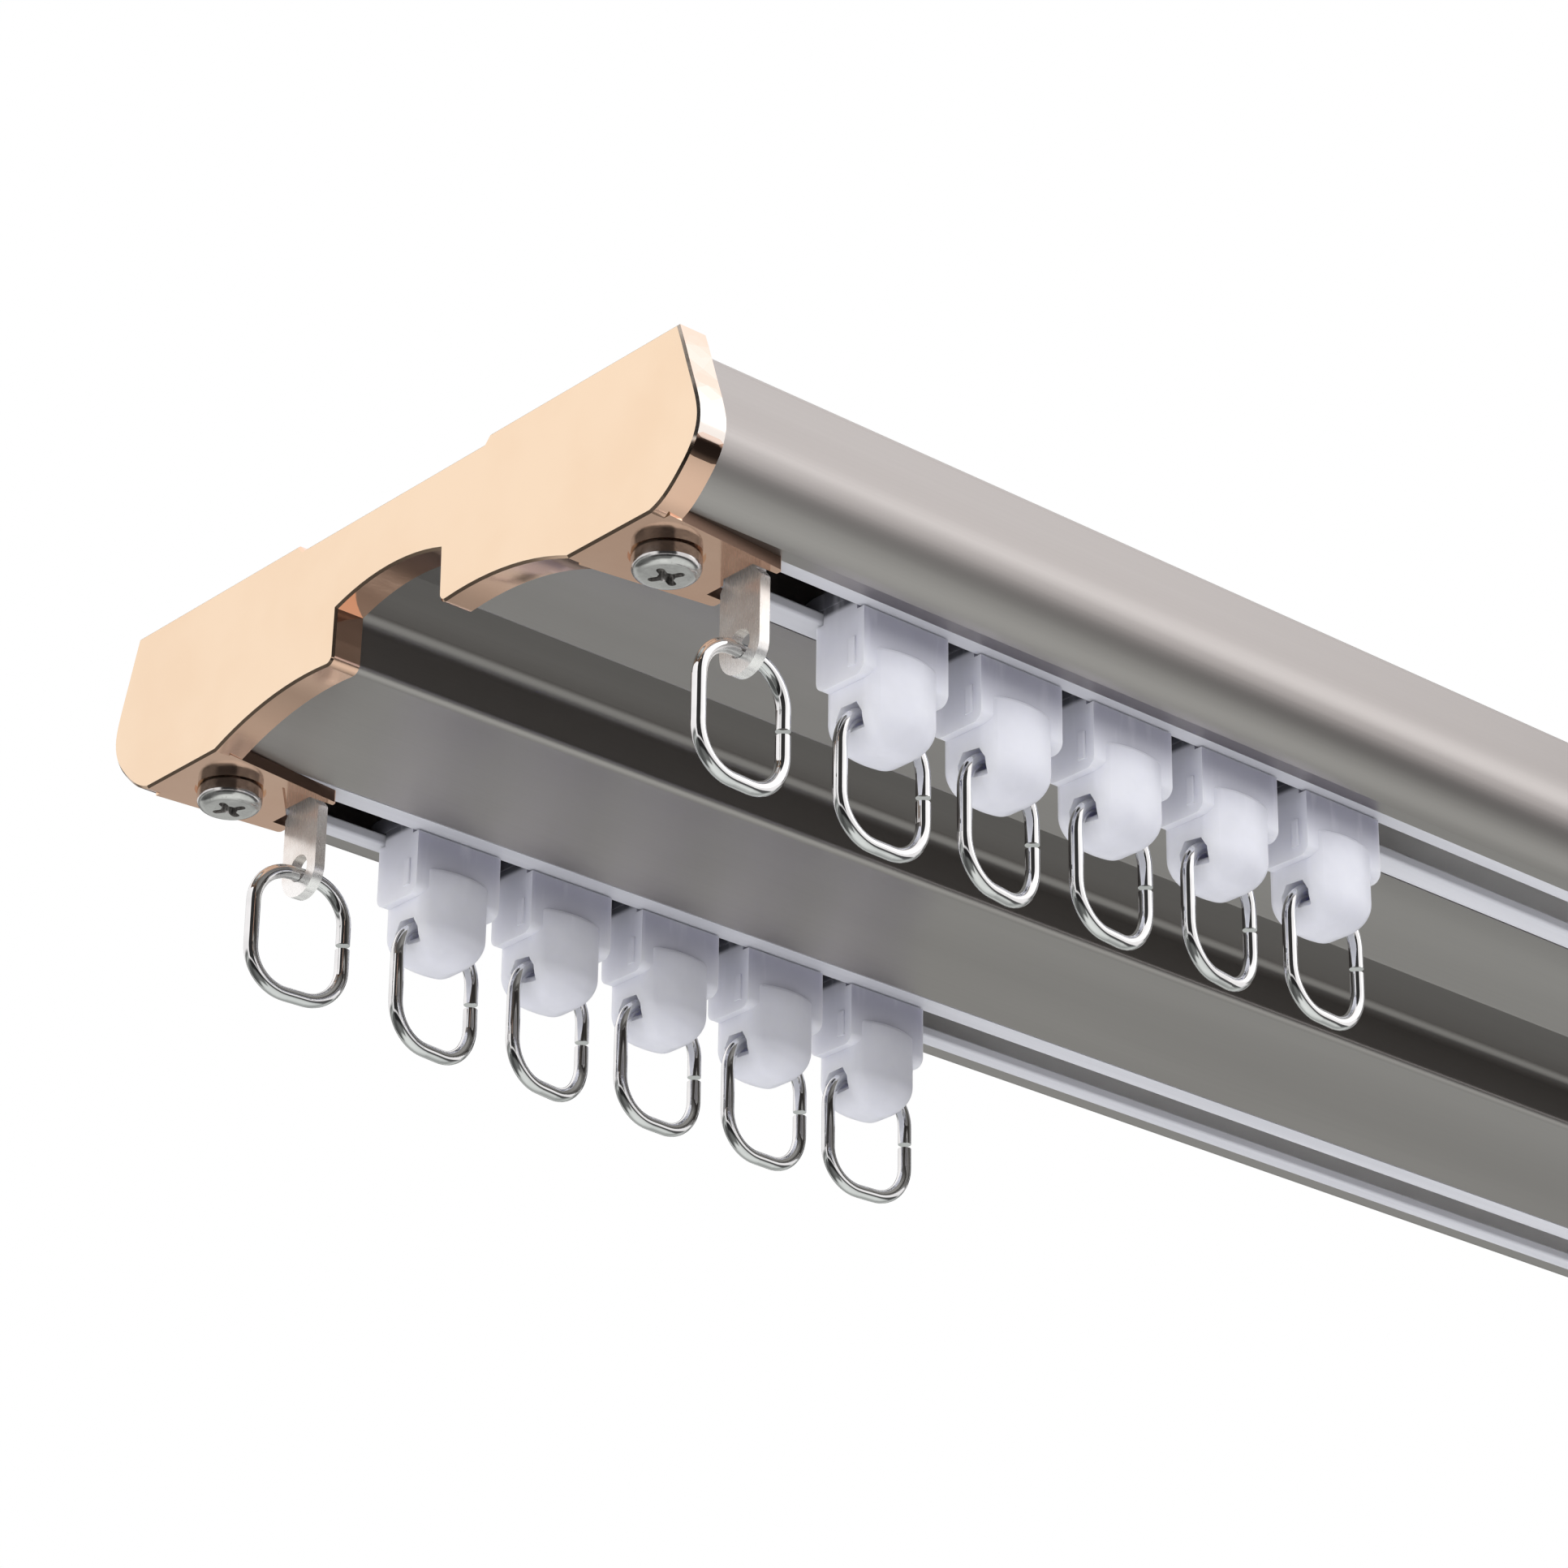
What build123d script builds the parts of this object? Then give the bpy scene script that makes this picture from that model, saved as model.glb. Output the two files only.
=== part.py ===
from build123d import *
import os

# Ceiling curtain track with two glider channels, cut to 500 mm.
# Millimetres. +X runs along the track, Y across it, +Z up.
# Origin: middle of the floor of the shallow recess along the top, where the
# ceiling clips seat. Section points are (y, z) pairs for the +Y half.

# ---------------------------------------------------------------- dimensions
track_length = 500.0        # over both end caps
cap_plate = 3.8             # thickness of the end cap's face plate
rail_length = track_length - 2 * cap_plate

pad_top = 0.9               # top pads, either side of the recess
channel_y = 39.8            # centre plane of each slot, from the middle
slot_width = 5.8            # clear slot between the glide strips
strip_bottom = -18.65       # underside of the strips and of the rail there
strip_skin = 0.45           # strip thickness under the lip
lip_thick = 0.60            # aluminium lip
strip_cap = 0.40            # strip thickness above the lip
lip_bottom = strip_bottom + strip_skin
lip_top = lip_bottom + lip_thick
strip_top = lip_top + strip_cap
strip_edge = 0.8            # strip thickness at the slot's edge
strip_outer_y = 45.0        # where the outer strip meets the rail
strip_inner_y = 33.50       # where the inner strip ends
rail_inner_step_y = 33.25   # where the rail's underside begins again
channel_in_y, channel_out_y = 32.6, 47.0    # channel side walls
channel_roof = -8.9

cap_bottom = -20.2
cap_bevel = 0.28
tongue_length = 18.9        # from the cap's outer face
tongue_top = strip_bottom - 0.02
tongue_base = (31.9, 47.0)  # the tongue narrows from its base to its tip
tongue_tip = (34.2, 45.6)
pocket_start = 11.6         # shallow slanted pocket at the tongue's end
notch_start = 16.5          # the tongue's open notch, for the eye plate
notch_half = 3.9
pocket_half = 4.8
screw_x = 7.6               # screw axis, from the cap's outer face
screw_head_d = 7.7
screw_shank_r = 1.95
screw_clear_r = 2.2
counterbore_r = 4.2
counterbore_z = -19.75
screw_face = -22.8

plate_thick = 1.4           # steel eye plate
plate_leg_x = 17.9          # its hanging leg's outer face, from the cap's face
plate_start = 4.8
plate_half_y = 5.8
leg_neck_half, leg_half = 2.6, 3.3
eye_z, eye_r = -27.1, 1.7   # hole for the end ring
leg_round_z = -27.4

wire_r = 0.85               # ring wire
ring_half = 6.3             # wire centre line, half width
ring_height = 15.5          # wire centre line, height
ring_corner = 5.0
ring_gap = 0.6
ring_gap_z = -7.6
end_ring_x = 18.35          # from the cap's outer face
end_ring_z = -27.9          # wire centre at the top of an end ring
glider_ring_z = -29.4       # wire centre at the top of a glider's ring

glider_first_x = 38.55      # first glider's middle, from the cap's face
glider_pitch = 17.45
glider_count = 5
head_length, head_half_y, head_thick = 12.9, 6.8, 2.3
head_bottom = strip_top + 0.1
neck_half_y = 2.75
block_length, block_half_y = 12.5, 3.9
block_top = strip_bottom - 0.25
block_bottom = -26.9
block_round = 1.3
lobe_half_x, lobe_half_y, lobe_end_y = 5.1, 4.9, 3.6
lobe_top = -23.1
lobe_bottom = -34.5
lobe_round = 4.2            # around its lower end
lobe_corner = 1.8

# how far each ring has turned about the vertical as it hangs, in degrees
near_ring_turn = [2, 10, 7, 10, 5]
far_ring_turn = [8, 10, 4, 3, -3]
end_ring_turn = {"near": 4, "far": -3}

x0 = -track_length / 2      # outer face of the left cap

os.makedirs("parts", exist_ok=True)


def save(part, name):
    part.label = name
    export_step(part, f"parts/{name}.step")


# --------------------------------------------------------------------- rail
# The outline of the +Y half, from the recess floor round to the arch between
# the channels; the lips end where the glide strips clip on.
rail_side = [(47.5, -0.1), (50.6, -5.6), (52.0, -9.6), (52.3, -11.6), (51.8, -13.9),
             (49.8, -16.9), (46.9, strip_bottom)]
lip_tip_out = channel_y + slot_width / 2 + strip_edge
lip_tip_in = channel_y - slot_width / 2 - strip_edge

with BuildPart() as rail:
    with BuildSketch(Plane.YZ.offset(x0 + cap_plate)):
        with BuildLine():
            Polyline((0, 0), (16.9, 0), (17.8, pad_top), (46.4, pad_top))
            ThreePointArc((46.4, pad_top), (47.08, 0.62), (47.5, -0.1))
            Spline(rail_side, tangents=[(0.42, -0.9), (-1.0, -0.2)])
            Polyline((46.9, strip_bottom), (strip_outer_y, strip_bottom),
                     (strip_outer_y, lip_bottom), (lip_tip_out, lip_bottom),
                     (lip_tip_out, lip_top), (channel_out_y, lip_top),
                     (channel_out_y, channel_roof), (channel_in_y, channel_roof),
                     (channel_in_y, lip_top), (lip_tip_in, lip_top),
                     (lip_tip_in, lip_bottom), (rail_inner_step_y, lip_bottom),
                     (rail_inner_step_y, strip_bottom))
            ThreePointArc((rail_inner_step_y, strip_bottom), (21.5, -16.45), (11.4, -16.6))
            ThreePointArc((11.4, -16.6), (10.62, -16.32), (10.3, -15.6))
            Line((10.3, -15.6), (10.3, -11.35))
            ThreePointArc((10.3, -11.35), (9.80, -10.15), (8.7, -9.66))
            ThreePointArc((8.7, -9.66), (4.4, -8.90), (0, -8.65))
            mirror(about=Plane.YZ)
        make_face()
    extrude(amount=rail_length)
    # hollow chambers of the extrusion
    with BuildSketch(Plane.YZ.offset(x0 + cap_plate)):
        with BuildLine():                       # between the arch and the channel
            Polyline((11.5, -1.2), (17.4, -1.2), (18.3, -0.3), (31.4, -0.3), (31.4, -17.1))
            ThreePointArc((31.4, -17.1), (21.5, -15.25), (11.5, -15.4))
            Line((11.5, -15.4), (11.5, -1.2))
        make_face()
        with BuildLine():                       # above the channel
            Polyline((channel_in_y, -0.3), (46.9, -0.3), (46.9, -7.7),
                     (channel_in_y, -7.7), (channel_in_y, -0.3))
        make_face()
        with BuildLine():                       # behind the rounded outer side
            Spline((48.2, -3.9), (49.5, -6.5), (50.75, -9.9), (51.05, -11.6), (50.6, -13.4), (48.2, -16.3))
            Line((48.2, -16.3), (48.2, -3.9))
        make_face()
        mirror(about=Plane.YZ)
        with BuildLine():                       # above the arch
            Line((10.3, -8.9), (10.3, -1.2))
            Line((10.3, -1.2), (-10.3, -1.2))
            Line((-10.3, -1.2), (-10.3, -8.9))
            ThreePointArc((-10.3, -8.9), (0, -7.45), (10.3, -8.9))
        make_face()
    extrude(amount=rail_length, mode=Mode.SUBTRACT)
save(rail.part, "rail")

# ------------------------------------------------------------- glide strips
# U-section strips clipped over the four lips; the heads of the gliders run
# on their upper skin. The edge at the slot is slightly rounded.
slot_out = channel_y + slot_width / 2
slot_in = channel_y - slot_width / 2
r = 0.35
k = r * 0.2929

with BuildPart() as strip_out:
    with BuildSketch(Plane.YZ.offset(x0 + cap_plate)):
        with BuildLine():
            e = slot_out
            Polyline((e + r, strip_bottom), (strip_outer_y, strip_bottom), (strip_outer_y, lip_bottom),
                     (lip_tip_out, lip_bottom), (lip_tip_out, lip_top), (e + 2.6, lip_top),
                     (e + 2.6, strip_top), (e + r, strip_top))
            ThreePointArc((e + r, strip_top), (e + k, strip_top - k), (e, strip_top - r))
            Line((e, strip_top - r), (e, strip_bottom + r))
            ThreePointArc((e, strip_bottom + r), (e + k, strip_bottom + k), (e + r, strip_bottom))
        make_face()
    extrude(amount=rail_length)

with BuildPart() as strip_in:
    with BuildSketch(Plane.YZ.offset(x0 + cap_plate)):
        with BuildLine():
            e = slot_in
            Polyline((e - r, strip_bottom), (strip_inner_y, strip_bottom), (strip_inner_y, lip_bottom),
                     (lip_tip_in, lip_bottom), (lip_tip_in, lip_top), (e - 2.6, lip_top),
                     (e - 2.6, strip_top), (e - r, strip_top))
            ThreePointArc((e - r, strip_top), (e - k, strip_top - k), (e, strip_top - r))
            Line((e, strip_top - r), (e, strip_bottom + r))
            ThreePointArc((e, strip_bottom + r), (e - k, strip_bottom + k), (e - r, strip_bottom))
        make_face()
    extrude(amount=rail_length)

for strip, name in ((strip_out, "outer"), (strip_in, "inner")):
    with BuildPart() as placed:
        add(strip.part)
    save(placed.part, f"far_{name}_glide_strip")
    with BuildPart() as placed:
        mirror(strip.part, about=Plane.XZ)
    save(placed.part, f"near_{name}_glide_strip")

# ------------------------------------------------------------------ end cap
# Section points with their outward normals, so that the bevelled outer face
# can be drawn a little smaller than the plate behind it.
with BuildPart() as cap:
    for x, d in ((x0, cap_bevel), (x0 + cap_bevel, 0.0)):
        with BuildSketch(Plane.YZ.offset(x)):
            with BuildLine():
                q = d * 0.414
                Polyline((0, -d), (16.9 + q, -d), (17.8 + q, pad_top - d), (50.0 - 0.7 * d, pad_top - d))
                Spline((50.0 - 0.7 * d, pad_top - d), (52.0 - 0.95 * d, -5.1 - 0.3 * d), (53.3 - 0.96 * d, -9.1 - 0.25 * d),
                       (53.7 - d, -11.6), (53.2 - 0.92 * d, -13.9 + 0.4 * d), (50.6 - 0.66 * d, -17.3 + 0.75 * d),
                       (46.0 - 0.1 * d, cap_bottom + d), tangents=[(0.36, -1.0), (-1.0, -0.25)])
                Line((46.0 - 0.1 * d, cap_bottom + d), (32.3 + 0.1 * d, cap_bottom + d))
                ThreePointArc((32.3 + 0.1 * d, cap_bottom + d), (20.9, -17.3 + d), (11.0 + 0.1 * d, -17.15 + d))
                ThreePointArc((11.0 + 0.1 * d, -17.15 + d), (10.1 + 0.7 * d, -16.85 + 0.7 * d), (9.72 + d, -16.2 + 0.2 * d))
                Line((9.72 + d, -16.2 + 0.2 * d), (9.6 + d, -10.3 + 0.8 * d))
                ThreePointArc((9.6 + d, -10.3 + 0.8 * d), (0, -8.8 + d), (-9.6 - d, -10.3 + 0.8 * d))
                Line((-9.6 - d, -10.3 + 0.8 * d), (-9.72 - d, -16.2 + 0.2 * d))
                ThreePointArc((-9.72 - d, -16.2 + 0.2 * d), (-10.1 - 0.7 * d, -16.85 + 0.7 * d), (-11.0 - 0.1 * d, -17.15 + d))
                ThreePointArc((-11.0 - 0.1 * d, -17.15 + d), (-20.9, -17.3 + d), (-32.3 - 0.1 * d, cap_bottom + d))
                Line((-32.3 - 0.1 * d, cap_bottom + d), (-46.0 + 0.1 * d, cap_bottom + d))
                Spline((-46.0 + 0.1 * d, cap_bottom + d), (-50.6 + 0.66 * d, -17.3 + 0.75 * d), (-53.2 + 0.92 * d, -13.9 + 0.4 * d),
                       (-53.7 + d, -11.6), (-53.3 + 0.96 * d, -9.1 - 0.25 * d), (-52.0 + 0.95 * d, -5.1 - 0.3 * d),
                       (-50.0 + 0.7 * d, pad_top - d), tangents=[(-1.0, 0.25), (0.36, 1.0)])
                Polyline((-50.0 + 0.7 * d, pad_top - d), (-17.8 - q, pad_top - d), (-16.9 - q, -d), (0, -d))
            make_face()
    loft(ruled=True)
    extrude(cap.faces().sort_by(Axis.X)[-1], amount=cap_plate - cap_bevel)
    # tongues under the slots, notched at the end for the eye plates
    with BuildSketch(Plane.XY.offset(cap_bottom)) as tongue_plan:
        for s in (1, -1):
            with BuildLine():
                Polyline((x0 + 2.0, s * tongue_base[0]), (x0 + tongue_length, s * tongue_tip[0]),
                         (x0 + tongue_length, s * tongue_tip[1]), (x0 + 2.0, s * tongue_base[1]),
                         (x0 + 2.0, s * tongue_base[0]))
            make_face()
        fillet(tongue_plan.vertices().group_by(Axis.X)[-1], radius=0.5)
        for s in (1, -1):
            with Locations((x0 + notch_start + 4, s * channel_y)):
                Rectangle(8, 2 * notch_half, mode=Mode.SUBTRACT)
    extrude(amount=tongue_top - cap_bottom)
    for s in (1, -1):
        yc = s * channel_y
        # the pocket in the underside, its inner end cut on the slant
        with BuildSketch(Plane.XY.offset(cap_bottom)):
            with BuildLine():
                Polyline((x0 + pocket_start, yc - pocket_half), (x0 + notch_start, yc + 1.2),
                         (x0 + notch_start, yc + notch_half), (x0 + 20, yc + notch_half),
                         (x0 + 20, yc - pocket_half), (x0 + pocket_start, yc - pocket_half))
            make_face()
        extrude(amount=0.8, mode=Mode.SUBTRACT)
        with Locations(Plane(origin=(x0 + screw_x, yc, cap_bottom), z_dir=(0, 0, -1))):
            CounterBoreHole(radius=screw_clear_r, counter_bore_radius=counterbore_r,
                            counter_bore_depth=counterbore_z - cap_bottom, depth=2.2)
    # lugs that locate the cap in the channels, cored from the inner end
    for s in (1, -1):
        with BuildSketch(Plane.YZ.offset(x0 + cap_plate - 0.5)):
            with Locations((s * channel_y, -11.75)):
                RectangleRounded(13.8, 5.1, 0.8)
        extrude(amount=10.5)
        with BuildSketch(Plane.YZ.offset(x0 + cap_plate)):
            with Locations((s * channel_y, -11.75)):
                RectangleRounded(11.0, 2.6, 0.4)
        extrude(amount=11.0, mode=Mode.SUBTRACT)

for name, turn in (("end_cap_left", 0), ("end_cap_right", 180)):
    with BuildPart() as placed:
        with Locations(Rotation(0, 0, turn)):
            add(cap.part)
    save(placed.part, name)

# -------------------------------------------------------------- cap screws
# Cross-recessed pan head screw with its axis on Z.
with BuildPart() as screw:
    with BuildSketch(Plane.XZ):
        with BuildLine():
            hr = screw_head_d / 2
            Polyline((0, screw_face), (2.6, screw_face + 0.06))
            ThreePointArc((2.6, screw_face + 0.06), (hr - 0.25, screw_face + 0.5), (hr, screw_face + 1.2))
            Polyline((hr, screw_face + 1.2), (hr, counterbore_z), (screw_shank_r, counterbore_z),
                     (screw_shank_r, -15.4), (screw_shank_r - 0.45, -14.95),
                     (0, -14.95), (0, screw_face))
        make_face()
    revolve(axis=Axis.Z)
    for a in (0, 90):
        with BuildSketch(Plane.XY.offset(screw_face - 0.1)):
            SlotOverall(4.2, 0.95, rotation=a + 28)
        extrude(amount=1.4, taper=6, mode=Mode.SUBTRACT)
    with BuildSketch(Plane.XY.offset(screw_face - 0.1)):
        Circle(1.0)
    extrude(amount=1.7, taper=12, mode=Mode.SUBTRACT)

# --------------------------------------------------------------- eye plate
# Bent steel plate: the flat leg lies in the channel on the glide strips and
# takes the cap screw's thread; the other leg hangs through the slot.
with BuildPart() as eye_plate:
    with BuildSketch(Plane.XZ.offset(plate_half_y)):
        with BuildLine():
            xa, xb, t = plate_start, plate_leg_x, plate_thick
            ri, ro = 0.5, 0.5 + t
            Line((xa, strip_top), (xb - ri, strip_top))
            ThreePointArc((xb - ri, strip_top), (xb - 0.2929 * ri, strip_top - 0.2929 * ri), (xb, strip_top - ri))
            Polyline((xb, strip_top - ri), (xb, -31.3), (xb + t, -31.3), (xb + t, strip_top - ri))
            ThreePointArc((xb + t, strip_top - ri),
                          (xb - ri + 0.7071 * ro, strip_top - ri + 0.7071 * ro),
                          (xb - ri, strip_top + t))
            Polyline((xb - ri, strip_top + t), (xa, strip_top + t), (xa, strip_top))
        make_face()
    extrude(amount=-2 * plate_half_y)
    # what stays of that bar, seen along X: neck in the slot, rounded end
    with BuildSketch(Plane.YZ.offset(plate_start - 1)):
        with BuildLine():
            zn = strip_bottom - 0.3
            Polyline((plate_half_y, strip_top + 3), (plate_half_y, strip_top - 0.005), (leg_neck_half, strip_top - 0.005),
                     (leg_neck_half, zn), (leg_half, zn - 0.9), (leg_half, leg_round_z))
            ThreePointArc((leg_half, leg_round_z), (0, leg_round_z - leg_half), (-leg_half, leg_round_z))
            Polyline((-leg_half, leg_round_z), (-leg_half, zn - 0.9), (-leg_neck_half, zn),
                     (-leg_neck_half, strip_top - 0.005), (-plate_half_y, strip_top - 0.005),
                     (-plate_half_y, strip_top + 3), (plate_half_y, strip_top + 3))
        make_face()
        with Locations((0, eye_z)):
            Circle(eye_r, mode=Mode.SUBTRACT)
    extrude(amount=30, mode=Mode.INTERSECT)
    # plan: wide on the strips, narrow at the bend
    with BuildSketch(Plane.XY.offset(-40)):
        with BuildLine():
            Polyline((plate_start, -plate_half_y), (13.4, -plate_half_y), (15.4, -leg_half),
                     (22, -leg_half), (22, leg_half), (15.4, leg_half),
                     (13.4, plate_half_y), (plate_start, plate_half_y), (plate_start, -plate_half_y))
        make_face()
    extrude(amount=40, mode=Mode.INTERSECT)
    with Locations(Plane(origin=(screw_x, 0, strip_top + plate_thick), z_dir=(0, 0, 1))):
        Hole(radius=2.0, depth=4)

# ------------------------------------------------------------- split ring
# Bent wire hanging from the origin in the XZ plane, wire centre at z = 0; the
# cut is on the +X side near the middle.
h, w, c = ring_height, ring_half, ring_corner
cut_top, cut_bottom = ring_gap_z + ring_gap / 2, ring_gap_z - ring_gap / 2
with BuildPart() as ring:
    # the four bends
    for z, turn in ((-c, 1), (-h + c, -1)):
        for sx in (1, -1):
            with BuildSketch(Plane.XY.offset(z)):
                with Locations((sx * w, 0)):
                    Circle(wire_r)
            revolve(axis=Axis((sx * (w - c), 0, z), (0, 1, 0)), revolution_arc=-90 * turn * sx)
    # straight runs at the top and the bottom
    for z in (0, -h):
        with BuildSketch(Plane.YZ.offset(-(w - c))):
            with Locations((0, z)):
                Circle(wire_r)
        extrude(amount=2 * (w - c))
    # the closed side, then the side with the cut
    for x, z0, z1 in ((-w, -h + c, -c), (w, cut_top, -c), (w, -h + c, cut_bottom)):
        with BuildSketch(Plane.XY.offset(z0)):
            with Locations((x, 0)):
                Circle(wire_r)
        extrude(amount=z1 - z0)

# ------------------------------------------------------------------ glider
# One-piece nylon glider, modelled with its middle at x = 0, y = 0.
with BuildPart() as eye_hole:
    # the passage that the ring's wire follows through the lobe, a little wider
    # towards both ends, so that the ring can swing
    pz = glider_ring_z
    xi = ring_half - ring_corner            # the wire is straight to here
    zc = pz - ring_corner
    ri = ring_corner - wire_r - 0.30
    with BuildSketch(Plane.XZ.offset(8)):
        with BuildLine():
            zt = pz + wire_r + 0.50
            Line((xi, zt), (-xi, zt))
            ThreePointArc((-xi, zt), (-xi - 2.64, zc + 5.76), (-xi - 5.08, zc + 4.02))
            Polyline((-xi - 5.08, zc + 4.02), (-xi - 6.6, zc + 2.4), (-xi - 6.6, zc), (-xi - ri, zc))
            ThreePointArc((-xi - ri, zc), (-xi - ri * 0.7071, zc + ri * 0.7071), (-xi, zc + ri))
            Line((-xi, zc + ri), (xi, zc + ri))
            ThreePointArc((xi, zc + ri), (xi + ri * 0.7071, zc + ri * 0.7071), (xi + ri, zc))
            Polyline((xi + ri, zc), (xi + 6.6, zc), (xi + 6.6, zc + 2.4), (xi + 5.08, zc + 4.02))
            ThreePointArc((xi + 5.08, zc + 4.02), (xi + 2.64, zc + 5.76), (xi, zt))
        make_face()
    extrude(amount=-16)
    with BuildSketch(Plane.XY.offset(-45)):
        with BuildLine():
            Polyline((-8, -2.80), (-5.1, -2.10), (-1.2, -1.2), (1.2, -1.2), (5.1, -2.10), (8, -2.80),
                     (8, 2.80), (5.1, 2.10), (1.2, 1.2), (-1.2, 1.2), (-5.1, 2.10), (-8, 2.80), (-8, -2.80))
        make_face()
    extrude(amount=30, mode=Mode.INTERSECT)
    # seen along the wire: round above it, spreading 31 degrees each way below
    pr = wire_r + 0.30
    ca, sa = 0.857, 0.515
    with BuildSketch(Plane.YZ.offset(-10)):
        with BuildLine():
            ThreePointArc((-pr * ca, pz + pr * sa), (0, pz + pr), (pr * ca, pz + pr * sa))
            Polyline((pr * ca, pz + pr * sa), (pr * ca + 7 * sa, pz + pr * sa - 7 * ca),
                     (-pr * ca - 7 * sa, pz + pr * sa - 7 * ca), (-pr * ca, pz + pr * sa))
        make_face()
    extrude(amount=20, mode=Mode.INTERSECT)

with BuildPart() as lobe:
    # thick tab with bowed sides and a round lower end
    with BuildSketch(Plane.XY.offset(lobe_bottom)) as lobe_plan:
        with BuildLine():
            Line((-lobe_half_x, -lobe_end_y), (-lobe_half_x, lobe_end_y))
            ThreePointArc((-lobe_half_x, lobe_end_y), (0, lobe_half_y), (lobe_half_x, lobe_end_y))
            Line((lobe_half_x, lobe_end_y), (lobe_half_x, -lobe_end_y))
            ThreePointArc((lobe_half_x, -lobe_end_y), (0, -lobe_half_y), (-lobe_half_x, -lobe_end_y))
        make_face()
        fillet(lobe_plan.vertices(), radius=lobe_corner)
    extrude(amount=lobe_top - lobe_bottom)
    fillet(lobe.faces().sort_by(Axis.Z)[0].edges(), radius=lobe_round)
    fillet(lobe.faces().sort_by(Axis.Z)[-1].edges(), radius=0.7)

with BuildPart() as glider:
    half = block_length / 2
    # head that runs in the channel
    with BuildSketch(Plane.XY.offset(head_bottom)):
        RectangleRounded(head_length, 2 * head_half_y, 2.0)
    extrude(amount=head_thick)
    chamfer(glider.faces().sort_by(Axis.Z)[-1].edges(), length=0.4)
    # neck through the slot
    with BuildSketch(Plane.XY.offset(block_top - 0.5)):
        Rectangle(block_length, 2 * neck_half_y)
    extrude(amount=head_bottom - block_top + 0.5)
    # body under the rail, rounded along its lower edges
    with BuildSketch(Plane.YZ.offset(-half)):
        with BuildLine():
            b, br = block_half_y, block_round
            Polyline((-b, block_bottom + br), (-b, block_top), (b, block_top), (b, block_bottom + br))
            ThreePointArc((b, block_bottom + br), (b - 0.2929 * br, block_bottom + 0.2929 * br), (b - br, block_bottom))
            Line((b - br, block_bottom), (-b + br, block_bottom))
            ThreePointArc((-b + br, block_bottom), (-b + 0.2929 * br, block_bottom + 0.2929 * br), (-b, block_bottom + br))
        make_face()
    extrude(amount=block_length)
    add(lobe.part)
    # moulded rib on each end face
    for sx in (-1, 1):
        with BuildSketch(Plane.XY.offset(-25.6)):
            with Locations((sx * (half - 0.1), -2.0)):
                RectangleRounded(0.7, 1.2, 0.25)
        extrude(amount=3.4)

# -------------------------------------------------------------- placement
# "near" is the channel on the -Y side, "far" the one on the +Y side; gliders
# are numbered from the left end.
for side, sy in (("near", -1), ("far", 1)):
    for end, turn in (("left", 0), ("right", 180)):
        # the right end is the left end turned half round, so its near side
        # comes from the far side's place
        s = sy if end == "left" else -sy
        with BuildPart() as placed:
            with Locations(Rotation(0, 0, turn)):
                with Locations((x0 + screw_x, s * channel_y, 0)):
                    add(screw.part)
        save(placed.part, f"{side}_{end}_cap_screw")
        with BuildPart() as placed:
            with Locations(Rotation(0, 0, turn)):
                with Locations((x0, s * channel_y, 0)):
                    add(eye_plate.part)
        save(placed.part, f"{side}_{end}_eye_plate")
        with BuildPart() as placed:
            with Locations(Rotation(0, 0, turn)):
                with Locations(Location((x0 + end_ring_x, s * channel_y, end_ring_z),
                                        (0, 0, end_ring_turn[side]))):
                    add(ring.part)
        save(placed.part, f"{side}_{end}_end_ring")
    turns = near_ring_turn if side == "near" else far_ring_turn
    for i in range(glider_count):
        xc = x0 + glider_first_x + i * glider_pitch
        with BuildPart() as placed:
            with Locations((xc, sy * channel_y, 0)):
                add(glider.part)
            # each passage is moulded to the way its own ring hangs
            with Locations(Location((xc, sy * channel_y, 0), (0, 0, turns[i]))):
                add(eye_hole.part, mode=Mode.SUBTRACT)
        save(placed.part, f"{side}_glider_{i + 1}")
        with BuildPart() as placed:
            with Locations(Location((xc, sy * channel_y, glider_ring_z), (0, 0, turns[i]))):
                add(ring.part)
        save(placed.part, f"{side}_glider_ring_{i + 1}")
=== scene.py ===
import math

import bpy
from mathutils import Matrix, Vector

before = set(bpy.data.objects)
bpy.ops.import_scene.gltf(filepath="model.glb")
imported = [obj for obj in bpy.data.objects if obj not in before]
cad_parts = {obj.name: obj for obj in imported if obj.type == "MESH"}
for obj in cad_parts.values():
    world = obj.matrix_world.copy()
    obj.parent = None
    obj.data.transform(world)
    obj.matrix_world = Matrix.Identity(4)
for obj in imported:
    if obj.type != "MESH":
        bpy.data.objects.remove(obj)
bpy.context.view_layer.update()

# A length of ceiling curtain track, seen from below and from its left end.
# Metres, in the frame of the CAD model: +X along the track, +Z up.

scene = bpy.context.scene
scene.view_settings.view_transform = "Standard"
scene.view_settings.look = "None"
scene.view_settings.exposure = 0.0
scene.view_settings.gamma = 1.0


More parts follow.
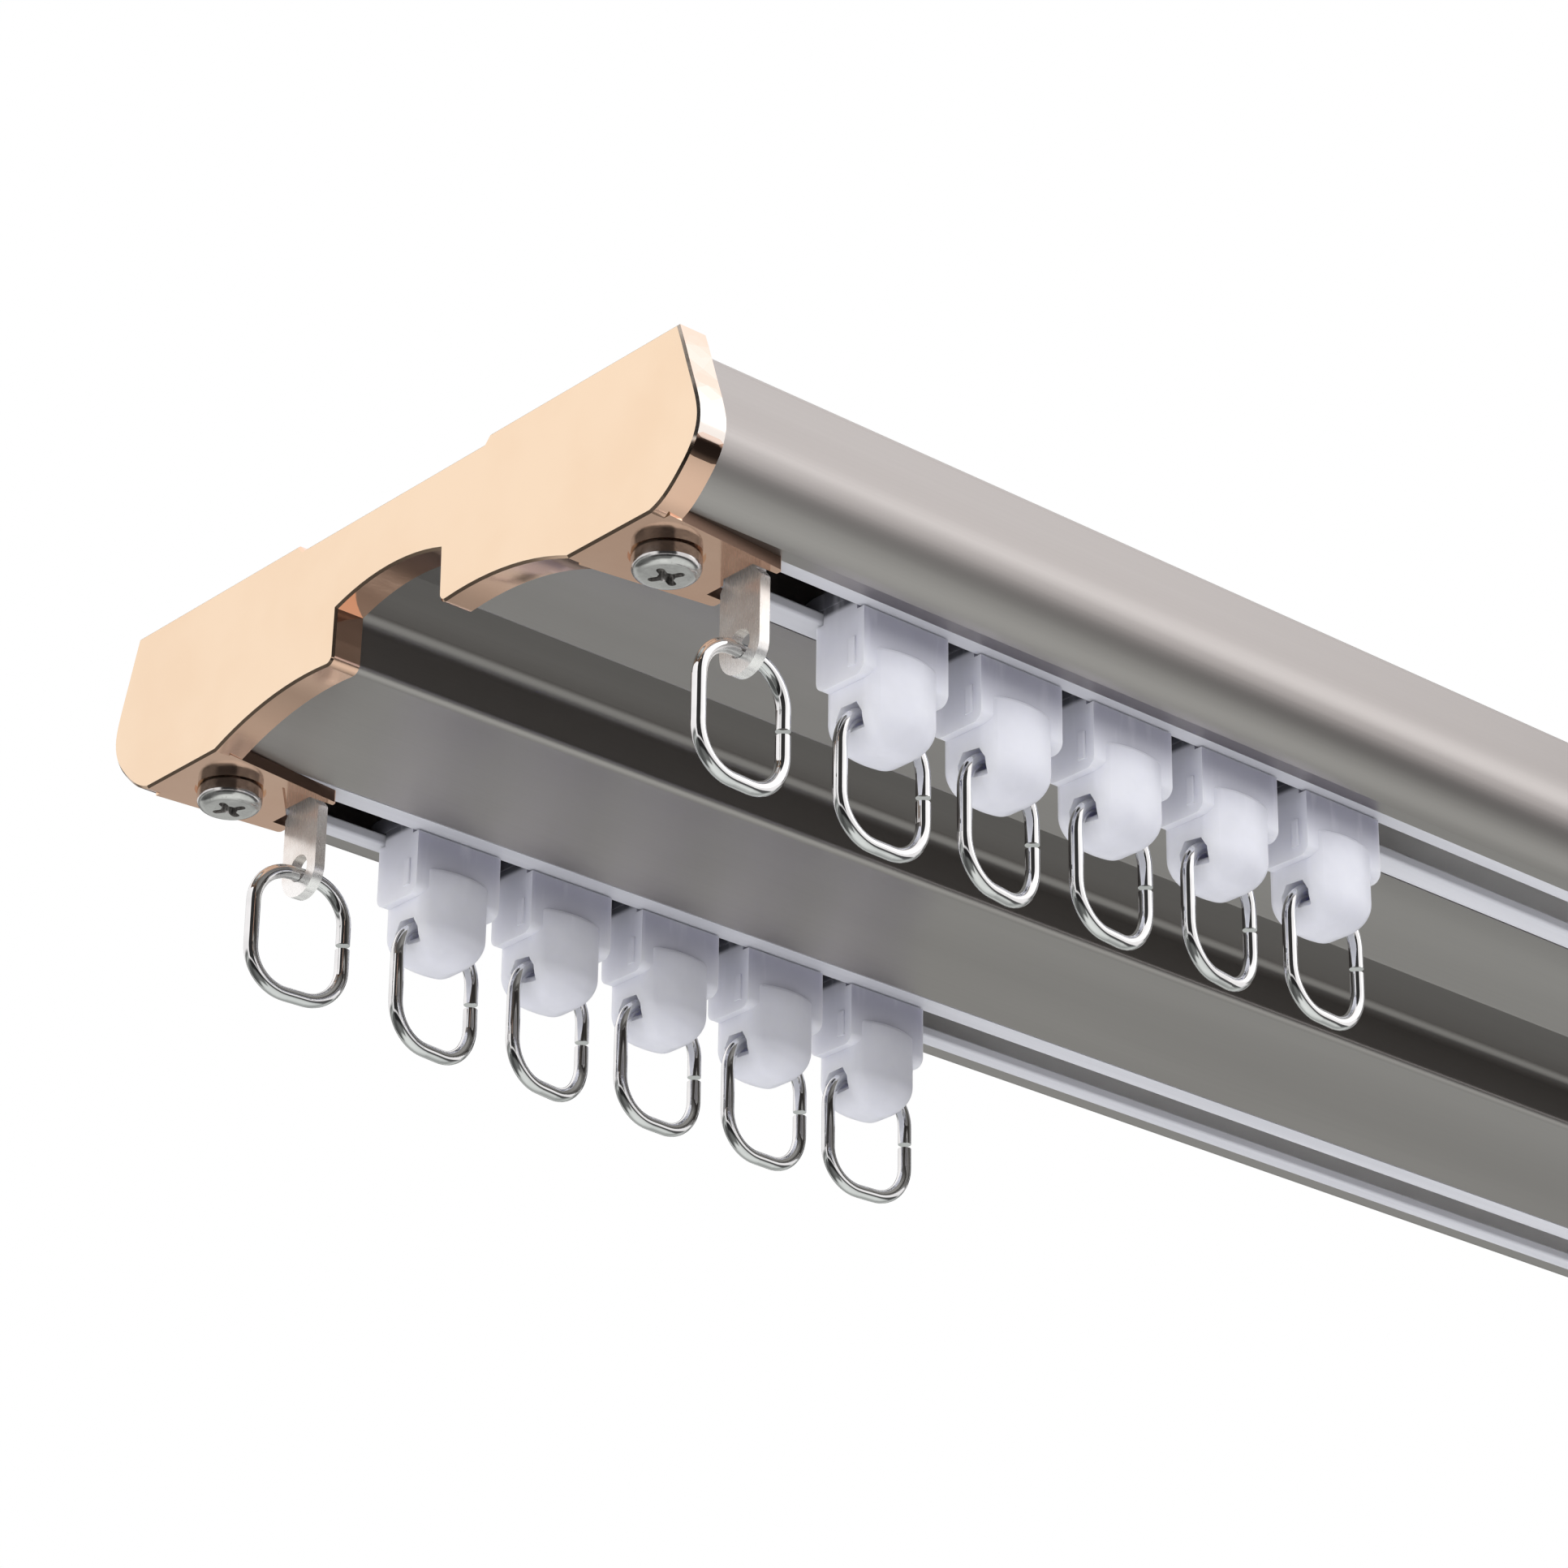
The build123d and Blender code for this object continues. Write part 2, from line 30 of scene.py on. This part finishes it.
# ------------------------------------------------------------ node helpers
class Tree:
    """Short names for making shader nodes."""

    def __init__(self, tree):
        self.t = tree
        tree.nodes.clear()

    def node(self, kind, **props):
        n = self.t.nodes.new(kind)
        for key, value in props.items():
            setattr(n, key, value)
        return n

    def put(self, socket, value):
        if isinstance(value, bpy.types.NodeSocket):
            self.t.links.new(value, socket)
        elif value is not None:
            socket.default_value = value

    def math(self, op, a, b=None, c=None, clamp=False):
        n = self.node("ShaderNodeMath", operation=op, use_clamp=clamp)
        for i, v in enumerate((a, b, c)):
            self.put(n.inputs[i], v)
        return n.outputs[0]

    def step(self, value, lo, hi, out_lo=0.0, out_hi=1.0):
        n = self.node("ShaderNodeMapRange", interpolation_type="SMOOTHSTEP")
        for key, v in (("Value", value), ("From Min", lo), ("From Max", hi), ("To Min", out_lo), ("To Max", out_hi)):
            self.put(n.inputs[key], v)
        return n.outputs["Result"]

    def mix(self, fac, a, b, blend="MIX"):
        n = self.node("ShaderNodeMix", data_type="RGBA", blend_type=blend)
        self.put(n.inputs[0], fac)
        self.put(n.inputs[6], a)
        self.put(n.inputs[7], b)
        return n.outputs[2]

    def ramp(self, value, stops, mode="EASE"):
        n = self.node("ShaderNodeValToRGB")
        n.color_ramp.interpolation = mode
        el = n.color_ramp.elements
        while len(el) < len(stops):
            el.new(0.5)
        for e, (pos, colour) in zip(el, stops):
            e.position = pos
            e.color = (*colour, 1.0)
        self.put(n.inputs[0], value)
        return n.outputs[0]

    def coords(self, scale, rotation=(0, 0, 0), offset=(0, 0, 0)):
        c = self.node("ShaderNodeTexCoord")
        m = self.node("ShaderNodeMapping")
        self.put(m.inputs["Vector"], c.outputs["Object"])
        m.inputs["Scale"].default_value = scale
        m.inputs["Rotation"].default_value = rotation
        m.inputs["Location"].default_value = offset
        return m.outputs[0]

    def noise(self, vector, scale=1.0, detail=3.0, rough=0.55):
        n = self.node("ShaderNodeTexNoise")
        self.put(n.inputs["Vector"], vector)
        n.inputs["Scale"].default_value = scale
        n.inputs["Detail"].default_value = detail
        n.inputs["Roughness"].default_value = rough
        return n.outputs["Fac"]

    def bump(self, height, strength, distance, under=None):
        n = self.node("ShaderNodeBump")
        n.inputs["Strength"].default_value = strength
        n.inputs["Distance"].default_value = distance
        self.put(n.inputs["Height"], height)
        if under is not None:
            self.put(n.inputs["Normal"], under)
        return n.outputs[0]

    def scratches(self, scale, rotation, density=0.72):
        """Thin stretched lines, 1 on a scratch and 0 elsewhere."""
        v = self.coords(scale, rotation)
        return self.step(self.noise(v, 1.0, 2.0, 0.4), density, density + 0.05)


def material(name, **constants):
    """A new material with one Principled shader; the constants go straight on its sockets."""
    m = bpy.data.materials.new(name)
    m.use_nodes = True
    t = Tree(m.node_tree)
    out = t.node("ShaderNodeOutputMaterial")
    bsdf = t.node("ShaderNodeBsdfPrincipled")
    t.put(out.inputs["Surface"], bsdf.outputs[0])
    for key, value in constants.items():
        bsdf.inputs[key.replace("_", " ")].default_value = value
    return m, t, bsdf


# --------------------------------------------------------------- materials
def satin_aluminium():
    m, t, b = material("satin_aluminium", Metallic=1.0, Anisotropic=0.25)
    broad = t.noise(t.coords((5, 60, 60)), 1.0, 3.0)
    lines = t.noise(t.coords((9, 2400, 2400)), 1.0, 3.0, 0.6)
    grain = t.noise(t.coords((5200, 5200, 5200)), 1.0, 2.0)
    colour = t.ramp(broad, [(0.3, (0.455, 0.427, 0.416)), (0.7, (0.495, 0.467, 0.455))])
    colour = t.mix(t.step(lines, 0.35, 0.75, 0.0, 0.16), colour, (0.41, 0.385, 0.375, 1))
    scratch = t.scratches((30, 900, 900), (0.2, 0.1, 0.05), 0.77)
    colour = t.mix(t.math("MULTIPLY", scratch, 0.20), colour, (0.66, 0.64, 0.63, 1))
    # painted shade: the narrow hollow between the channels is coloured near-black where shade falls in it
    place = t.node("ShaderNodeTexCoord")
    part = t.node("ShaderNodeSeparateXYZ")
    t.put(part.inputs[0], place.outputs["Object"])
    painted_groove_shade = t.step(t.math("ABSOLUTE", part.outputs[1]), 0.0116, 0.0104)
    painted_groove_shade = t.math("MULTIPLY", painted_groove_shade, t.step(part.outputs[2], -0.0078, -0.0084))
    painted_groove_shade = t.math("MULTIPLY", painted_groove_shade, t.step(part.outputs[2], -0.0166, -0.0155))
    colour = t.mix(t.math("MULTIPLY", painted_groove_shade, 0.34), colour, (0.02, 0.017, 0.015, 1))
    # painted light: within the channels, past the gliders, the metal is coloured pale and made much rougher so that
    # it reads as lit
    across = t.math("ABSOLUTE", part.outputs[1])
    painted_channel_light = t.math("MULTIPLY", t.step(across, 0.0324, 0.0326), t.step(across, 0.0472, 0.0470))
    painted_channel_light = t.math("MULTIPLY", painted_channel_light, t.step(part.outputs[2], -0.0086, -0.0089))
    painted_channel_light = t.math("MULTIPLY", painted_channel_light, t.step(part.outputs[2], -0.0184, -0.0180))
    painted_channel_light = t.math("MULTIPLY", painted_channel_light, t.step(part.outputs[0], -0.150, -0.110))
    colour = t.mix(painted_channel_light, colour, (0.93, 0.92, 0.92, 1))
    t.put(b.inputs["Base Color"], colour)
    rough = t.step(broad, 0.25, 0.75, 0.31, 0.36)
    rough = t.math("ADD", rough, t.math("MULTIPLY", grain, 0.05))
    rough = t.math("SUBTRACT", rough, t.math("MULTIPLY", scratch, 0.06))
    t.put(b.inputs["Roughness"], t.math("MULTIPLY_ADD", painted_channel_light, 0.55, rough))
    n = t.bump(lines, 0.10, 0.00004)
    t.put(b.inputs["Normal"], t.bump(grain, 0.06, 0.00002, n))
    return m


def rose_gold():
    m, t, b = material("polished_rose_gold", Metallic=1.0, Specular_IOR_Level=0.5)
    broad = t.noise(t.coords((70, 70, 70)), 1.0, 3.0)
    peel = t.noise(t.coords((420, 420, 420)), 1.0, 2.0)
    fine = t.noise(t.coords((900, 2600, 2600), (0.5, 0.2, 0.1)), 1.0, 3.0)
    colour = t.ramp(broad, [(0.3, (0.925, 0.710, 0.510)), (0.7, (0.950, 0.745, 0.545))])
    geo = t.node("ShaderNodeNewGeometry")
    part = t.node("ShaderNodeSeparateXYZ")
    t.put(part.inputs[0], geo.outputs["True Normal"])
    # painted reflection: faces turned away from ±X (sides, tongues, arches) take a deeper, darker copper than the
    # front and back, standing in for the warm copper they reflect
    flank = t.step(t.math("ABSOLUTE", part.outputs[0]), 0.92, 0.55)
    edge = t.ramp(broad, [(0.3, (0.90, 0.575, 0.425)), (0.7, (0.95, 0.63, 0.475))])
    place = t.node("ShaderNodeTexCoord")
    where = t.node("ShaderNodeSeparateXYZ")
    t.put(where.inputs[0], place.outputs["Object"])
    # painted highlight: the caps' outer side flanks, strongest below their upper curve, are coloured near-white
    painted_flank_highlight = t.math("MULTIPLY", t.step(part.outputs[2], -0.38, -0.32), t.step(part.outputs[2], 0.335, 0.28, 0.35, 1.0))
    painted_flank_highlight = t.math("MULTIPLY", painted_flank_highlight, t.step(t.math("ABSOLUTE", where.outputs[1]), 0.0470, 0.0485))
    edge = t.mix(painted_flank_highlight, edge, (0.99, 0.93, 0.87, 1))
    # painted reflection: the rounded lower corner is coloured as a clean dark stripe, standing in for the dark floor
    # it mirrors
    painted_dark_band = t.math("MULTIPLY", t.step(part.outputs[2], -0.385, -0.415), t.step(part.outputs[2], -0.635, -0.605))
    painted_dark_band = t.math("MULTIPLY", painted_dark_band, t.step(t.math("ABSOLUTE", where.outputs[1]), 0.0470, 0.0485))
    edge = t.mix(t.math("MULTIPLY", painted_dark_band, 0.92), edge, (0.10, 0.06, 0.045, 1))
    colour = t.mix(flank, colour, edge)
    # painted shadow: the narrow sides of the tongues are coloured dull brown and made rougher, standing in for the
    # shaded gap between tongue and rail
    painted_shade_mask = t.math("MULTIPLY", t.step(t.math("ABSOLUTE", part.outputs[1]), 0.90, 0.97),
                  t.step(t.math("ABSOLUTE", where.outputs[0]), 0.2464, 0.2461))
    painted_shade_mask = t.math("MULTIPLY", painted_shade_mask, t.step(where.outputs[2], -0.0170, -0.0180))
    colour = t.mix(t.math("MULTIPLY", painted_shade_mask, 0.90), colour, (0.09, 0.055, 0.04, 1))
    scratch = t.scratches((2600, 60, 800), (0.55, 0.2, 0.3), 0.76)
    colour = t.mix(t.math("MULTIPLY", scratch, 0.18), colour, (0.86, 0.60, 0.43, 1))
    t.put(b.inputs["Base Color"], colour)
    rough = t.step(broad, 0.25, 0.75, 0.055, 0.095)
    rough = t.math("ADD", rough, t.math("MULTIPLY", fine, 0.03))
    rough = t.math("ADD", rough, t.math("MULTIPLY", scratch, 0.05))
    t.put(b.inputs["Roughness"], t.math("MULTIPLY_ADD", painted_shade_mask, 0.25, rough))
    n = t.bump(peel, 0.05, 0.00012)
    t.put(b.inputs["Normal"], t.bump(fine, 0.04, 0.00003, n))
    return m


def strip_plastic():
    m, t, b = material("glide_strip_plastic", Metallic=0.0, Specular_IOR_Level=0.5, IOR=1.49)
    broad = t.noise(t.coords((14, 400, 400)), 1.0, 2.0)
    lines = t.noise(t.coords((30, 5200, 5200)), 1.0, 3.0)
    colour = t.ramp(broad, [(0.3, (0.575, 0.58, 0.62)), (0.7, (0.645, 0.65, 0.69))])
    colour = t.mix(t.step(lines, 0.5, 0.8, 0.0, 0.12), colour, (0.52, 0.53, 0.58, 1))
    t.put(b.inputs["Base Color"], colour)
    t.put(b.inputs["Roughness"], t.step(lines, 0.3, 0.7, 0.30, 0.40))
    t.put(b.inputs["Normal"], t.bump(lines, 0.12, 0.00003))
    return m


def nylon():
    m, t, b = material("milky_nylon", Metallic=0.0, Specular_IOR_Level=0.45, IOR=1.50,
                       Subsurface_Weight=0.45, Subsurface_Scale=0.0035, Coat_Weight=0.0)
    b.inputs["Subsurface Radius"].default_value = (1.0, 1.0, 1.15)
    cloud = t.noise(t.coords((160, 160, 160)), 1.0, 3.0)
    grain = t.noise(t.coords((2600, 2600, 2600)), 1.0, 2.0)
    flow = t.noise(t.coords((500, 500, 90)), 1.0, 2.0)
    colour = t.ramp(cloud, [(0.3, (0.715, 0.72, 0.775)), (0.7, (0.765, 0.77, 0.825))])
    place = t.node("ShaderNodeTexCoord")
    part = t.node("ShaderNodeSeparateXYZ")
    t.put(part.inputs[0], place.outputs["Object"])
    # painted shade: the upper block under the strip is darkened, and its ±Y sides much more, where the rail keeps
    # light off them
    painted_shade_mask = t.step(part.outputs[2], -0.0285, -0.0200, 0.0, 1.0)
    colour = t.mix(painted_shade_mask, colour, (0.80, 0.80, 0.83, 1), "MULTIPLY")
    geo = t.node("ShaderNodeNewGeometry")
    faces = t.node("ShaderNodeSeparateXYZ")
    t.put(faces.inputs[0], geo.outputs["True Normal"])
    cross = t.step(t.math("ABSOLUTE", faces.outputs[1]), 0.75, 0.97)
    shade = t.math("MULTIPLY", cross, t.step(part.outputs[2], -0.0262, -0.0195))
    colour = t.mix(shade, colour, (0.56, 0.555, 0.60, 1), "MULTIPLY")
    head = t.step(part.outputs[2], -0.0184, -0.0176)        # in the channel's shade
    colour = t.mix(head, colour, (0.16, 0.16, 0.17, 1), "MULTIPLY")
    # painted shade: the lowest part of the lobes is darkened a little
    painted_lobe_bottom_shade = t.step(part.outputs[2], -0.0290, -0.0345)
    colour = t.mix(painted_lobe_bottom_shade, colour, (0.88, 0.88, 0.885, 1), "MULTIPLY")
    colour = t.mix(t.step(flow, 0.55, 0.75, 0.0, 0.20), colour, (0.74, 0.74, 0.80, 1))
    t.put(b.inputs["Base Color"], colour)
    t.put(b.inputs["Roughness"], t.step(cloud, 0.25, 0.75, 0.28, 0.40))
    n = t.bump(cloud, 0.08, 0.0002)
    t.put(b.inputs["Normal"], t.bump(grain, 0.10, 0.00003, n))
    return m


def chrome():
    m, t, b = material("chromed_wire", Metallic=1.0)
    broad = t.noise(t.coords((260, 260, 260)), 1.0, 2.0)
    drawn = t.noise(t.coords((2200, 2200, 240)), 1.0, 3.0)
    colour = t.ramp(broad, [(0.3, (0.80, 0.805, 0.81)), (0.7, (0.90, 0.90, 0.905))])
    t.put(b.inputs["Base Color"], colour)
    t.put(b.inputs["Roughness"], t.step(drawn, 0.3, 0.8, 0.02, 0.06))
    t.put(b.inputs["Normal"], t.bump(drawn, 0.10, 0.00003))
    return m


def nickel_plate():
    m, t, b = material("brushed_nickel_plate", Metallic=0.72, Anisotropic=0.2)
    broad = t.noise(t.coords((240, 240, 240)), 1.0, 3.0)
    brushed = t.noise(t.coords((1500, 5200, 420), (0.15, 0, 0)), 1.0, 3.0, 0.6)
    colour = t.ramp(broad, [(0.3, (0.80, 0.73, 0.68)), (0.7, (0.93, 0.89, 0.85))])
    s1 = t.scratches((500, 4200, 300), (0.5, 0, 0), 0.68)
    s2 = t.scratches((500, 3600, 260), (-0.9, 0, 0), 0.70)
    scratch = t.math("MAXIMUM", s1, s2)
    colour = t.mix(t.math("MULTIPLY", scratch, 0.08), colour, (0.52, 0.46, 0.42, 1))
    place = t.node("ShaderNodeTexCoord")
    part = t.node("ShaderNodeSeparateXYZ")
    t.put(part.inputs[0], place.outputs["Object"])
    # painted highlight: the lower end of the plate is coloured near-white, standing in for the bright reflection
    # there
    colour = t.mix(t.step(part.outputs[2], -0.0265, -0.0290), colour, (0.98, 0.965, 0.95, 1))
    t.put(b.inputs["Base Color"], colour)
    rough = t.step(brushed, 0.3, 0.75, 0.22, 0.30)
    t.put(b.inputs["Roughness"], t.math("ADD", rough, t.math("MULTIPLY", scratch, 0.15)))
    n = t.bump(brushed, 0.07, 0.00003)
    t.put(b.inputs["Normal"], t.bump(scratch, -0.09, 0.00003, n))
    return m


def screw_steel():
    m, t, b = material("plated_screw", Metallic=1.0)
    broad = t.noise(t.coords((500, 500, 500)), 1.0, 3.0)
    fine = t.noise(t.coords((3000, 3000, 3000)), 1.0, 3.0)
    colour = t.ramp(broad, [(0.3, (0.66, 0.645, 0.64)), (0.7, (0.80, 0.785, 0.775))])
    pits = t.step(fine, 0.62, 0.72)
    colour = t.mix(t.math("MULTIPLY", pits, 0.4), colour, (0.36, 0.33, 0.31, 1))
    t.put(b.inputs["Base Color"], colour)
    t.put(b.inputs["Roughness"], t.step(broad, 0.3, 0.75, 0.12, 0.24))
    t.put(b.inputs["Normal"], t.bump(fine, 0.12, 0.00004))
    return m


finish_of = {
    "rail": satin_aluminium(),
    "strip": strip_plastic(),
    "cap": rose_gold(),
    "screw": screw_steel(),
    "plate": nickel_plate(),
    "ring": chrome(),
    "glider": nylon(),
}


def finish_for(name):
    if name == "rail":
        return finish_of["rail"]
    if name.startswith("end_cap"):
        return finish_of["cap"]
    for ending in ("strip", "screw", "plate"):
        if name.endswith(ending):
            return finish_of[ending]
    if "ring" in name:
        return finish_of["ring"]
    return finish_of["glider"]


for name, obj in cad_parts.items():
    finish = finish_for(name)
    if obj.material_slots:
        for slot in obj.material_slots:
            slot.material = finish
    else:
        obj.data.materials.append(finish)

# ------------------------------------------------------------------ camera
yaw, pitch, roll = (math.radians(v) for v in (-40.947, 25.221, 0.751))
ahead = Vector((-math.sin(yaw) * math.cos(pitch), math.cos(yaw) * math.cos(pitch), math.sin(pitch)))
right = Vector((math.cos(yaw), math.sin(yaw), 0.0))
up = right.cross(ahead)
side_axis = math.cos(roll) * right + math.sin(roll) * up
up_axis = -math.sin(roll) * right + math.cos(roll) * up
lens = bpy.data.cameras.new("camera")
lens.sensor_fit = "HORIZONTAL"
lens.sensor_width = 36.0
lens.lens = 111.64
lens.clip_start, lens.clip_end = 0.01, 60.0
camera = bpy.data.objects.new("camera", lens)
pose = Matrix((side_axis, up_axis, -ahead)).transposed().to_4x4()
pose.translation = Vector((-0.53202, -0.39306, -0.26186))
camera.matrix_world = pose
scene.collection.objects.link(camera)
scene.camera = camera

# ------------------------------------------------------------------- floor
# Pale floor well below the track, fading out towards its edge.
floor_z, floor_r = -1.9, 9.0
ring_points = [(floor_r * math.cos(k * math.tau / 96), floor_r * math.sin(k * math.tau / 96), floor_z)
               for k in range(96)]
mesh = bpy.data.meshes.new("studio_floor")
mesh.from_pydata(ring_points, [], [list(range(96))])
floor = bpy.data.objects.new("studio_floor", mesh)
scene.collection.objects.link(floor)
m = bpy.data.materials.new("studio_floor")
m.use_nodes = True
t = Tree(m.node_tree)
out = t.node("ShaderNodeOutputMaterial")
paint = t.node("ShaderNodeBsdfPrincipled")
paint.inputs["Roughness"].default_value = 0.85
patch = t.noise(t.coords((1.2, 1.2, 1.2)), 1.0, 4.0)
t.put(paint.inputs["Base Color"], t.ramp(patch, [(0.3, (0.80, 0.80, 0.81)), (0.7, (0.84, 0.84, 0.85))]))
clear = t.node("ShaderNodeBsdfTransparent")
shader = t.node("ShaderNodeMixShader")
place = t.node("ShaderNodeTexCoord")
length = t.node("ShaderNodeVectorMath", operation="LENGTH")
flat = t.node("ShaderNodeVectorMath", operation="MULTIPLY")
t.put(flat.inputs[0], place.outputs["Object"])
flat.inputs[1].default_value = (1, 1, 0)
t.put(length.inputs[0], flat.outputs[0])
t.put(shader.inputs[0], t.step(length.outputs["Value"], 4.0, 8.6))
t.put(shader.inputs[1], paint.outputs[0])
t.put(shader.inputs[2], clear.outputs[0])
t.put(out.inputs["Surface"], shader.outputs[0])
mesh.materials.append(m)
floor.visible_glossy = False
floor.visible_shadow = False

# ------------------------------------------------------------ studio light
# One soft white room: bright walls and ceiling, a dark gap under the horizon
# and a dark flag off the track's end give the polished metal its contrast.
world = bpy.data.worlds.new("studio")
scene.world = world
world.use_nodes = True
t = Tree(world.node_tree)
out = t.node("ShaderNodeOutputWorld")
c = t.node("ShaderNodeTexCoord")
xyz = t.node("ShaderNodeSeparateXYZ")
t.put(xyz.inputs[0], c.outputs["Generated"])
dx, dy, dz = xyz.outputs


def grey(v, tint=(1.0, 1.0, 1.0)):
    return tuple(v * k for k in tint)


def at(z):
    return (z + 1) / 2


warm, cool = (1.0, 0.975, 0.97), (0.965, 1.0, 0.965)
height = t.math("MULTIPLY_ADD", dz, 0.5, 0.5)
scale = 2.2                 # the ramps hold values up to 1
front = t.ramp(height, [(at(-1), grey(0.80 / scale, cool)), (at(-0.70), grey(0.74 / scale, cool)),
                        (at(-0.54), grey(0.58 / scale, cool)), (at(-0.45), grey(0.10 / scale)),
                        (at(-0.21), grey(0.07 / scale)), (at(-0.13), grey(0.92 / scale, warm)),
                        (at(0.30), grey(0.98 / scale, warm)), (at(0.70), grey(1.20 / scale, warm)),
                        (at(1.0), grey(1.05 / scale, warm))], "LINEAR")
back = t.ramp(height, [(at(-1), grey(0.80 / scale, cool)), (at(-0.70), grey(0.42 / scale, cool)),
                       (at(-0.56), grey(0.33 / scale, cool)), (at(-0.43), grey(0.46 / scale, cool)),
                       (at(-0.30), grey(0.58 / scale, cool)), (at(-0.12), grey(0.42 / scale, cool)),
                       (at(-0.02), grey(0.17 / scale, cool)), (at(0.05), grey(0.17 / scale, cool)),
                       (at(0.18), grey(0.92 / scale, warm)),
                       (at(1.0), grey(1.15 / scale, warm))], "LINEAR")
room = t.mix(t.step(dy, -0.25, 0.20), front, back)
# the flag in front of the track's left end, and the dark corner under it
flat_len = t.math("SQRT", t.math("ADD", t.math("MULTIPLY", dx, dx), t.math("MULTIPLY_ADD", dy, dy, 0.0001)))
towards = t.math("DIVIDE", t.math("ADD", t.math("MULTIPLY", dx, -0.616), t.math("MULTIPLY", dy, -0.788)), flat_len)
flag = t.step(towards, 0.84, 0.90)
flag = t.math("MULTIPLY", flag, t.step(dz, -0.15, -0.05))
flag = t.math("MULTIPLY", flag, t.step(dz, 0.90, 0.80))
corner = t.math("MULTIPLY", t.step(dx, -0.15, -0.30), t.step(dz, -0.15, -0.25))
corner = t.math("MULTIPLY", t.math("MULTIPLY", corner, t.step(dz, -0.92, -0.80)), 0.8)
room = t.mix(t.math("MULTIPLY", t.math("MAXIMUM", flag, corner), 0.97), room, (0.0, 0.0, 0.0, 1))
# a brighter panel ahead and to the right
panel = t.node("ShaderNodeVectorMath", operation="DOT_PRODUCT")
t.put(panel.inputs[0], c.outputs["Generated"])
panel.inputs[1].default_value = Vector((0.66, -0.60, 0.46)).normalized()
room = t.mix(t.step(panel.outputs["Value"], 0.950, 0.985, 0.0, 0.50), room, (1.0, 1.0, 1.0, 1))
# a dark screen behind the track, which rounded metal shows along its edges
beyond = t.math("DIVIDE", t.math("ADD", t.math("MULTIPLY", dx, 0.866), t.math("MULTIPLY", dy, 0.5)), flat_len)
screen = t.math("MULTIPLY", t.step(beyond, 0.66, 0.74), t.step(dz, 0.12, 0.20))
screen = t.math("MULTIPLY", screen, t.step(dz, 0.70, 0.62))
room = t.mix(t.math("MULTIPLY", screen, 0.95), room, (0.0, 0.0, 0.0, 1))
gloss = t.node("ShaderNodeBackground")
t.put(gloss.inputs["Color"], room)
gloss.inputs["Strength"].default_value = scale
# what lights the matt pieces: the same room without its dark fittings
fill = t.mix(t.step(dz, -0.30, -0.75), (0.21, 0.21, 0.225, 1), (0.47, 0.47, 0.475, 1))
fill = t.mix(t.step(dz, 0.2, 0.6), fill, (1.0, 1.0, 1.0, 1))
fill = t.mix(t.step(dx, -0.25, -0.80), fill, (1.0, 1.0, 1.0, 1))
soft = t.node("ShaderNodeBackground")
t.put(soft.inputs["Color"], fill)
soft.inputs["Strength"].default_value = 1.28
plain = t.node("ShaderNodeBackground")
plain.inputs["Color"].default_value = (1, 1, 1, 1)
plain.inputs["Strength"].default_value = 1.0
path = t.node("ShaderNodeLightPath")
lit = t.node("ShaderNodeMixShader")
t.put(lit.inputs[0], path.outputs["Is Glossy Ray"])
t.put(lit.inputs[1], soft.outputs[0])
t.put(lit.inputs[2], gloss.outputs[0])
pick = t.node("ShaderNodeMixShader")
t.put(pick.inputs[0], path.outputs["Is Camera Ray"])
t.put(pick.inputs[1], lit.outputs[0])
t.put(pick.inputs[2], plain.outputs[0])
t.put(out.inputs["Surface"], pick.outputs[0])


def softbox(name, place, target, size, watts, colour=(1, 1, 1)):
    data = bpy.data.lights.new(name, "AREA")
    data.shape = "RECTANGLE"
    data.size, data.size_y = size
    data.energy = watts
    data.color = colour
    lamp = bpy.data.objects.new(name, data)
    lamp.location = place
    lamp.rotation_mode = "QUATERNION"
    lamp.rotation_quaternion = (Vector(target) - Vector(place)).to_track_quat("-Z", "Y")
    lamp.visible_camera = False
    lamp.visible_glossy = False
    scene.collection.objects.link(lamp)
    return lamp


softbox("key_light", (0.57, -1.04, 0.96), (-0.15, 0, -0.03), (0.6, 0.6), 8.0, (0.97, 0.98, 1.0))
